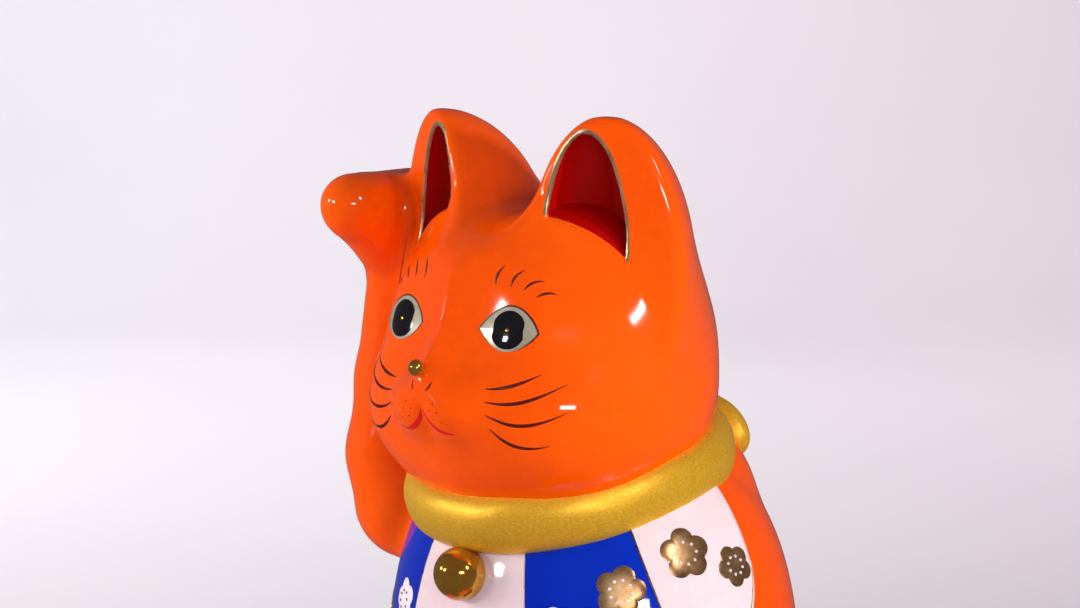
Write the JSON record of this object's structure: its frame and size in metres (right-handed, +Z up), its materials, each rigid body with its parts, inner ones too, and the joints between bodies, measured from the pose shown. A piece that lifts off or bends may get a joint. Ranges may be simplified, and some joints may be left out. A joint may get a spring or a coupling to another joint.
{
  "type": "beckoning cat figurine",
  "caption": "Seated glazed ceramic cat with one forepaw raised to beckon, wearing a gold collar with a bell and a striped bib; free-standing ornament.",
  "frame": {"origin": "on the flat base, under the middle of the head, so the cat stands on z = 0", "axes": "+Z up; the cat faces -Y; its left side is +X and its raised right paw is on the -X side"},
  "size_m": [0.1558, 0.1367, 0.2394],
  "materials": {
    "orange_glaze": "gloss",
    "white_glaze": "gloss",
    "satin_gold": "satin",
    "bright_gold": "polished",
    "eye_lustre": "gloss"
  },
  "bodies": {
    "root": {"torso_shell": "orange_glaze", "head_shell": "orange_glaze", "left_ear": "orange_glaze", "right_ear": "orange_glaze", "raised_arm": "orange_glaze", "left_foreleg": "orange_glaze", "left_hind_foot": "orange_glaze", "right_hind_foot": "orange_glaze", "tail": "orange_glaze", "bib": "white_glaze", "collar": "satin_gold", "collar_bow": "satin_gold", "bell": "bright_gold", "nose": "bright_gold", "left_eye": "eye_lustre", "right_eye": "eye_lustre"}
  },
  "joints": []
}
